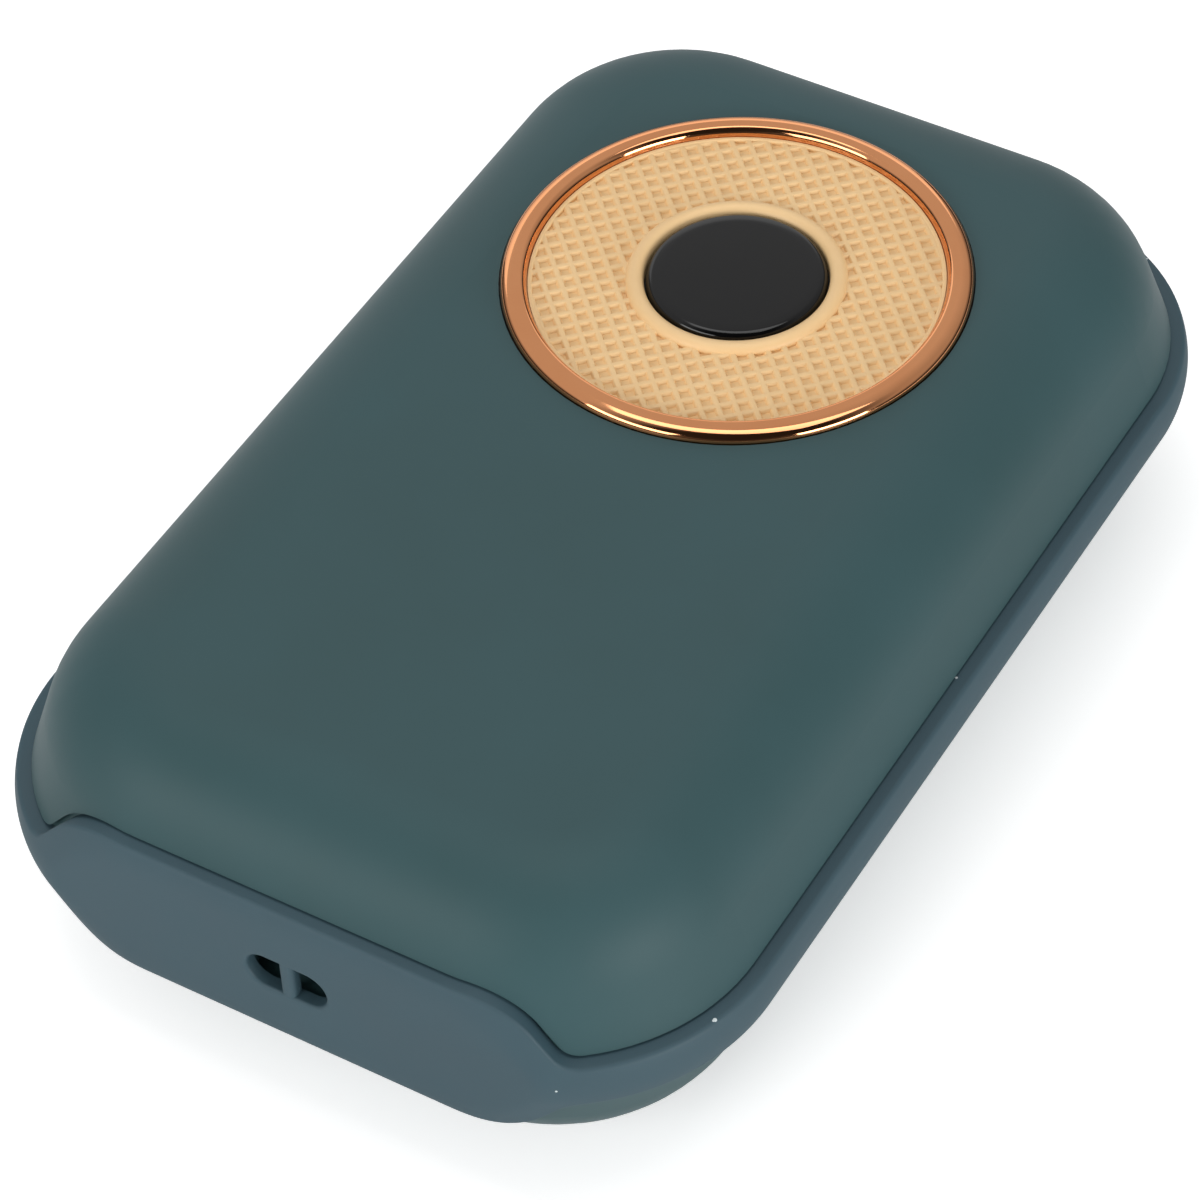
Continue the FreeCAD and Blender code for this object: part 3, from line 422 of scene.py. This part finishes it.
def paint_cad_nodes():
    """Gives each CAD node that stays the finish of its slot in the record."""
    finishes = make_inner_materials()
    finishes.update(shell_paint=PAINT, band_silicone=SILICONE, ring_plating=ROSE_GOLD)
    finishes.update(dial_plastic=APRICOT, lens_black=BLACK_LENS)
    for entry in frame["record"]["subparts"]:
        mesh = nodes[entry["node"]].data
        mesh.materials.clear()
        mesh.materials.append(finishes[entry["material_slot"]])


# Pieces made finer than the CAD

def sagitta(radius, across):
    """How far a circle has fallen away from its tangent at a distance across."""
    return radius - math.sqrt(radius ** 2 - across ** 2)


def panel_rise(reach, panel):
    """Half the band's height at a distance from the middle: a tall panel that falls to the low strip."""
    angle = math.atan2(panel["half_height"] - BAND_HALF, SLOPE_RUN)
    crest, foot = panel["half_width"], panel["half_width"] + SLOPE_RUN
    crest_run, foot_run = CREST_ROUND * math.tan(angle / 2), FOOT_ROUND * math.tan(angle / 2)
    if reach < crest - crest_run:
        return panel["half_height"]
    if reach < crest + crest_run * math.cos(angle):
        return panel["half_height"] - sagitta(CREST_ROUND, reach - crest + crest_run)
    if reach < foot - foot_run * math.cos(angle):
        return BAND_HALF + (foot - reach) * math.tan(angle)
    if reach < foot + foot_run:
        return BAND_HALF + sagitta(FOOT_ROUND, foot + foot_run - reach)
    return BAND_HALF


def wall_inset(rise, start, waist_round):
    """How far the leaning, domed wall has moved in at a rise above the mid-plane."""
    if rise < waist_round * math.sin(DRAFT):
        return start + waist_round * (1 / math.cos(DRAFT) - 1) + sagitta(waist_round, rise)
    edge = EDGE_ROUND - start
    edge_start = MID_HEIGHT - edge
    if rise < edge_start + edge * math.sin(DRAFT):
        return start + rise * math.tan(DRAFT)
    edge_inset = edge_start * math.tan(DRAFT) + edge * (1 / math.cos(DRAFT) - 1)
    return start + edge_inset + sagitta(edge, rise - edge_start)


def soft_least(first, second):
    """The smaller of two lengths, rounded a little where they meet."""
    return (first + second - math.hypot(first - second, PANEL_BLEND)) / 2


def band_section(half_height):
    """The band's closed section: outer face, rounded lip, ledge and inner face.

    Each row is its inset, its rise and how deep the flat end panels cut it.
    """
    below = half_height - LIP_ROUND
    moved_in = wall_inset(half_height, 0, WAIST_ROUND) - wall_inset(below, 0, WAIST_ROUND)
    lean = math.atan(moved_in / LIP_ROUND)
    lip_start = half_height - LIP_ROUND * (1 - math.sin(lean))
    upper = []
    for row in range(FACE_ROWS + 1):
        rise = lip_start * row / FACE_ROWS
        upper.append((wall_inset(rise, 0, WAIST_ROUND), rise, PANEL_FLAT))
    face_inset = upper[-1][0]
    for row in range(1, LIP_ROWS + 1):
        angle = lean + (math.pi / 2 - lean) * row / LIP_ROWS
        turn_in = LIP_ROUND * (math.cos(lean) - math.cos(angle))
        upper.append((face_inset + turn_in, below + LIP_ROUND * math.sin(angle), PANEL_FLAT + turn_in))
    for row in range(INNER_ROWS + 1):
        rise = half_height * (1 - row / INNER_ROWS)
        upper.append((wall_inset(rise, SEAT_INSET, 0), rise, PANEL_BACK))
    return upper + [(inset, -rise, flat) for inset, rise, flat in reversed(upper[1:-1])]


def outline_places():
    """Places round the body as (point on the inner rectangle, way out) pairs."""
    places = []
    for corner, (side_x, side_y) in enumerate(((1, 1), (-1, 1), (-1, -1), (1, -1))):
        for step in range(CORNER_STEPS + 1):
            angle = (corner + step / CORNER_STEPS) * math.pi / 2
            middle = Vector((STRAIGHT_X * side_x, STRAIGHT_Y * side_y, 0))
            places.append((middle, Vector((math.cos(angle), math.sin(angle), 0))))
        for step in range(1, END_STEPS if side_x == side_y else 1):
            along = STRAIGHT_X * side_x * (1 - 2 * step / END_STEPS)
            places.append((Vector((along, STRAIGHT_Y * side_y, 0)), Vector((0, side_y, 0))))
    return places


def bent_band():
    """A flat grid bent round the body, its rows following the band's section.

    The band's height is settled where the wall of the shell meets it, so the gap to the shell stays even.
    """
    places = outline_places()
    sections = []
    for middle, away in places:
        panel = LANYARD_PANEL if middle.y < 0 else PORT_PANEL
        half_height = BAND_HALF
        for _ in range(SETTLE_ROUNDS):
            reach = abs(middle.x + away.x * (CORNER_RADIUS - wall_inset(half_height, BAND_PROUD, 0)))
            half_height = panel_rise(reach, panel)
        sections.append(band_section(half_height))
    columns, rows = len(places), len(sections[0])
    bm = bmesh.new()
    bmesh.ops.create_grid(bm, x_segments=columns, y_segments=rows, size=0.5)
    for vert in bm.verts:
        column = round((vert.co.x + 0.5) * columns) % columns
        row = round((vert.co.y + 0.5) * rows) % rows
        middle, away = places[column]
        inset, rise, flat = sections[column][row]
        place = middle + away * (CORNER_RADIUS - inset)
        end_face = STRAIGHT_Y + CORNER_RADIUS - flat
        place.y = math.copysign(soft_least(abs(place.y), end_face), place.y)
        vert.co = place + Vector((0, 0, MID_HEIGHT + rise))
    bmesh.ops.remove_doubles(bm, verts=bm.verts, dist=MERGE_REACH)
    bmesh.ops.recalc_face_normals(bm, faces=bm.faces)
    return bm


def mouth_stations():
    """Depths of a plug along its axis, each with how far the plug has flared there."""
    face = band_high.y
    stations = [(face - CUT_DEPTH, 0.0)]
    for row in range(FLARE_ROWS + 1):
        angle = math.pi / 2 * row / FLARE_ROWS
        depth = MOUTH_ROUND * (1 - math.sin(angle))
        stations.append((face - depth, MOUTH_ROUND * (1 - math.cos(angle))))
    stations.append((face + CUT_DEPTH, MOUTH_ROUND))
    return stations


def oblong_cutter(side_y, half_length, radius):
    """A stadium-shaped plug through the band at one end, flared where it meets the outer face."""
    lobe = half_length - radius
    bm = bmesh.new()
    bmesh.ops.create_circle(bm, cap_ends=True, segments=OBLONG_STEPS, radius=radius)
    half_step = Matrix.Rotation(math.pi / OBLONG_STEPS, 3, "Z")
    bmesh.ops.rotate(bm, verts=bm.verts, cent=(0, 0, 0), matrix=half_step)
    bmesh.ops.translate(bm, verts=[v for v in bm.verts if v.co.x > 0], vec=(lobe, 0, 0))
    bmesh.ops.translate(bm, verts=[v for v in bm.verts if v.co.x < 0], vec=(-lobe, 0, 0))
    cap = bm.faces[:][0]
    for station, (depth, flare) in enumerate(mouth_stations()):
        if station:
            raised = bmesh.ops.extrude_face_region(bm, geom=[cap])["geom"]
            if station > 1:
                bmesh.ops.delete(bm, geom=[cap], context="FACES_ONLY")
            cap = next(item for item in raised if isinstance(item, bmesh.types.BMFace))
        for vert in cap.verts:
            middle = Vector((math.copysign(lobe, vert.co.x), 0, 0))
            away = Vector((vert.co.x - middle.x, vert.co.y, 0)).normalized()
            vert.co = middle + away * (radius + flare) + Vector((0, 0, depth))
    to_the_end = Matrix.Rotation(-side_y * math.pi / 2, 3, "X")
    bmesh.ops.rotate(bm, verts=bm.verts, cent=(0, 0, 0), matrix=to_the_end)
    bmesh.ops.translate(bm, verts=bm.verts, vec=(0, 0, MID_HEIGHT))
    bmesh.ops.recalc_face_normals(bm, faces=bm.faces)
    return bm


def loose_object(name, bm):
    """An object used only while another mesh is being cut."""
    mesh = bpy.data.meshes.new(name)
    bm.to_mesh(mesh)
    bm.free()
    thing = bpy.data.objects.new(name, mesh)
    bpy.context.scene.collection.objects.link(thing)
    return thing


def carve(bm, cutters):
    """The mesh with the cutters taken away."""
    blank = loose_object("blank", bm)
    tools = [loose_object(f"cutter_{number}", cutter) for number, cutter in enumerate(cutters)]
    for tool in tools:
        step = blank.modifiers.new(tool.name, "BOOLEAN")
        step.operation = "DIFFERENCE"
        step.solver = "EXACT"
        step.object = tool
    carved = bmesh.new()
    carved.from_object(blank, bpy.context.evaluated_depsgraph_get())
    for thing in [blank, *tools]:
        bpy.data.meshes.remove(thing.data)
    return carved


def add_slot_bar(bm):
    """The upright bar across the lanyard slot, rounded on its long edges and set a little back."""
    cube = bmesh.ops.create_cube(bm, size=1.0)["verts"]
    bmesh.ops.scale(bm, verts=cube, vec=(BAR_WIDTH, BAR_WIDTH, 2 * (SLOT_RADIUS + MOUTH_ROUND)))
    upright = {edge for vert in cube for edge in vert.link_edges
               if abs(edge.verts[0].co.z - edge.verts[1].co.z) > BAR_WIDTH}
    bmesh.ops.translate(bm, verts=cube, vec=(0, BAR_WIDTH / 2 + BAR_DROP - band_high.y, MID_HEIGHT))
    bmesh.ops.bevel(bm, geom=list(upright), offset=BAR_ROUND, offset_type="OFFSET", affect="EDGES",
                    segments=BAR_ROWS, profile=0.5, material=-1)


def make_band():
    """The soft band with rounded lips, its barred slot and the opening for the charging socket."""
    slot = oblong_cutter(-1, SLOT_HALF_LENGTH, SLOT_RADIUS)
    port = oblong_cutter(1, PORT_HALF_LENGTH, PORT_RADIUS)
    bm = carve(bent_band(), [slot, port])
    add_slot_bar(bm)
    band = finish_piece("silicone_band", bm, "case", SILICONE, ("middle_band",), BAND_SMOOTH)
    weighted = band.modifiers.new("even_shading", "WEIGHTED_NORMAL")
    weighted.keep_sharp = True


def inner_rise(run, rise):
    """Height of the ring's inner wall at a run from its edge: a quarter round, then the flat top."""
    share = min(run / INNER_ROUND, 1.0)
    return rise * math.sqrt(share * (2 - share))


def make_ring():
    """The plated ring: a crown, rounded outside and steeper inside, whose lip laps over the dial."""
    half = RING_WIDTH / 2
    inner = RING_RADIUS - RING_WIDTH
    crown_base = FACE_HEIGHT - RING_SINK
    rise = ring_high.z - crown_base
    section = [(inner + RING_LIP, ring_low.z), (RING_RADIUS, ring_low.z)]
    for row in range(CROWN_ROWS + 1):
        angle = math.pi * row / CROWN_ROWS
        run = half + half * math.cos(angle)
        height = rise * math.sin(angle) ** OUTER_POWER if run > half else inner_rise(run, rise)
        section.append((inner + run, crown_base + height))
    section += [(inner, FACE_HEIGHT - LIP_BOTTOM), (inner + RING_LIP, FACE_HEIGHT - LIP_BOTTOM)]
    bm = spun(section, DIAL_CENTRE, RING_STEPS)
    finish_piece("plated_ring", bm, "case", ROSE_GOLD, ("trim_ring",), RING_SMOOTH)


def make_lens():
    """The button top: slightly domed, with a rounded edge."""
    flat = LENS_RADIUS - LENS_EDGE
    section = [(0.0, lens_low.z), (LENS_RADIUS, lens_low.z)]
    section += arc(flat, lens_high.z - LENS_EDGE - LENS_DOME, LENS_EDGE, 0, LENS_EDGE_END, LENS_EDGE_ROWS)
    for share in DOME_SHARES:
        section.append((flat * share, lens_high.z - LENS_DOME * share ** 2))
    bm = spun(section, DIAL_CENTRE, LENS_STEPS)
    finish_piece("gloss_lens", bm, "button", BLACK_LENS, ("button_lens",), LENS_SMOOTH)


def waffle(inner, outer):
    """A sheet of square pits with rounded ridges, turned by 45 degrees, between two radii."""
    count = 2 * math.ceil(outer / WAFFLE_PITCH) + 2
    bm = bmesh.new()
    bmesh.ops.create_grid(bm, x_segments=count, y_segments=count, size=count * WAFFLE_PITCH / 2)
    pits = bm.faces[:]
    for width, drop in WAFFLE_STEPS:
        bmesh.ops.inset_individual(bm, faces=pits, thickness=width, depth=-drop)
    covered = [face for face in bm.faces if min(vert.co.xy.length for vert in face.verts) < inner]
    bmesh.ops.delete(bm, geom=covered, context="FACES")
    for side in range(RIM_SIDES):
        angle = math.tau * side / RIM_SIDES
        away = Vector((math.cos(angle), math.sin(angle), 0))
        sheet = bm.verts[:] + bm.edges[:] + bm.faces[:]
        bmesh.ops.bisect_plane(bm, geom=sheet, plane_co=away * outer, plane_no=away, clear_outer=True)
    bmesh.ops.rotate(bm, verts=bm.verts, cent=(0, 0, 0), matrix=Matrix.Rotation(WAFFLE_TURN, 3, "Z"))
    return bm


def make_dial():
    """The dial: a smooth rim, a waffle of square pits and a rounded collar."""
    ring_inner = RING_RADIUS - RING_WIDTH
    rim_outer, rim_inner = ring_inner - DIAL_GAP, ring_inner - RIM_WIDTH
    rim_top = FACE_HEIGHT + RIM_RISE
    ledge = FACE_HEIGHT - LIP_BOTTOM - DIAL_GAP
    floor = FACE_HEIGHT - DIAL_FLOOR_DROP
    collar_inner = LENS_RADIUS + COLLAR_GAP
    collar_round = COLLAR_WIDTH / 2
    section = [(collar_inner, dial_low.z), (DIAL_RADIUS, dial_low.z), (DIAL_RADIUS, ledge)]
    section += [(rim_outer, ledge), (rim_outer, rim_top)]
    section += arc(rim_inner + RIM_ROUND, rim_top - RIM_ROUND, RIM_ROUND, 90, 180, RIM_ROWS)
    section += [(rim_inner, floor), (collar_inner + COLLAR_WIDTH, floor)]
    section += arc(collar_inner + collar_round, dial_high.z - collar_round, collar_round, 0, 180, COLLAR_ROWS)
    bm = spun(section, DIAL_CENTRE, DIAL_STEPS)
    sheet = waffle(collar_inner + COLLAR_GAP, rim_inner + RIM_ROUND)
    bmesh.ops.translate(sheet, verts=sheet.verts, vec=DIAL_CENTRE + Vector((0, 0, FACE_HEIGHT)))
    take_in(bm, sheet)
    finish_piece("waffle_dial", bm, "case", APRICOT, ("dial_plate",), DIAL_SMOOTH)


# Stage, light and camera

def make_floor():
    """A pale floor that reads as white to the camera and keeps the object's shadow."""
    bm = bmesh.new()
    bmesh.ops.create_grid(bm, x_segments=FLOOR_SEGMENTS, y_segments=FLOOR_SEGMENTS, size=FLOOR_SIZE)
    bmesh.ops.translate(bm, verts=bm.verts, vec=(0, 0, -FLOOR_GAP))
    mesh = bpy.data.meshes.new("floor")
    bm.to_mesh(mesh)
    bm.free()
    finish = Finish("floor_paper", Roughness=0.9)
    finish.shader.inputs["Emission Color"].default_value = WHITE
    grain = finish.group(GRAIN, Grain_Scale=900.0, Drift_Scale=3.0)
    finish.colour(finish.mix(grain.outputs["Drift"], tone(250, 250, 250), tone(252, 252, 252)))
    rays = finish.tree.nodes.new("ShaderNodeLightPath")
    lift = math_node(finish.tree, "MULTIPLY", rays.outputs["Is Camera Ray"], FLOOR_LIFT)
    finish.tree.links.new(lift, finish.shader.inputs["Emission Strength"])
    mesh.materials.append(finish.material)
    floor = bpy.data.objects.new("floor", mesh)
    bpy.context.scene.collection.objects.link(floor)


def make_softbox(name, place, size, power):
    light = bpy.data.lights.new(name, "AREA")
    light.shape = "RECTANGLE"
    light.size, light.size_y = size
    light.energy = power
    lamp = bpy.data.objects.new(name, light)
    lamp.location = place
    lamp.rotation_euler = (LIGHT_TARGET - Vector(place)).to_track_quat("-Z", "Y").to_euler()
    bpy.context.scene.collection.objects.link(lamp)


def make_lights():
    """Low softboxes at the front, the right and the far left, and one overhead."""
    for name, box in SOFTBOXES.items():
        make_softbox(name, **box)


def make_world():
    """White to the camera and soft grey as light.

    What is mirrored darkens low down, by the camera and to the right.
    """
    world = bpy.data.worlds.new("studio")
    world.use_nodes = True
    tree = world.node_tree
    rays = tree.nodes.new("ShaderNodeLightPath")
    toward = tree.nodes.new("ShaderNodeVectorMath")
    toward.operation = "DOT_PRODUCT"
    toward.inputs[1].default_value = CAMERA_BACK
    way = tree.nodes.new("ShaderNodeTexCoord").outputs["Generated"]
    tree.links.new(way, toward.inputs[0])
    axes = tree.nodes.new("ShaderNodeSeparateXYZ")
    tree.links.new(way, axes.inputs[0])
    by_camera = spread_node(tree, toward.outputs["Value"], *CAMERA_FADE, MIRROR_BRIGHT, MIRROR_BY_CAMERA)
    low_down = spread_node(tree, axes.outputs["Z"], *LOW_FADE, MIRROR_LOW, MIRROR_BRIGHT)
    at_the_right = spread_node(tree, axes.outputs["X"], *RIGHT_FADE, 1.0, MIRROR_RIGHT)
    darker = math_node(tree, "MINIMUM", by_camera, low_down)
    mirrored = math_node(tree, "MULTIPLY", darker, at_the_right)
    seen = math_node(tree, "MAXIMUM", rays.outputs["Is Camera Ray"], rays.outputs["Is Transmission Ray"])
    light = spread_node(tree, rays.outputs["Is Glossy Ray"], 0.0, 1.0, SOFT_GREY, mirrored)
    strength = spread_node(tree, seen, 0.0, 1.0, light, 1.0)
    background = tree.nodes["Background"]
    background.inputs["Color"].default_value = WHITE
    tree.links.new(strength, background.inputs["Strength"])
    bpy.context.scene.world = world


def make_camera():
    """A long lens from the near right, above."""
    right = Vector((math.cos(AZIMUTH), math.sin(AZIMUTH), 0.0))
    up = CAMERA_BACK.cross(right)
    turned_right = right * math.cos(ROLL) + up * math.sin(ROLL)
    turned_up = up * math.cos(ROLL) - right * math.sin(ROLL)
    camera = bpy.data.cameras.new("camera")
    camera.sensor_width = SENSOR_WIDTH
    camera.lens = CAMERA_LENS
    camera.clip_start = CLIP_START
    eye = bpy.data.objects.new("camera", camera)
    turn = Matrix((turned_right, turned_up, CAMERA_BACK)).transposed().to_4x4()
    eye.matrix_world = Matrix.Translation(CAMERA_TARGET + CAMERA_BACK * CAMERA_DISTANCE) @ turn
    bpy.context.scene.collection.objects.link(eye)
    bpy.context.scene.camera = eye


paint_cad_nodes()
make_band()
make_ring()
make_lens()
make_dial()
make_floor()
make_lights()
make_world()
make_camera()
bpy.context.scene.view_settings.view_transform = "Standard"
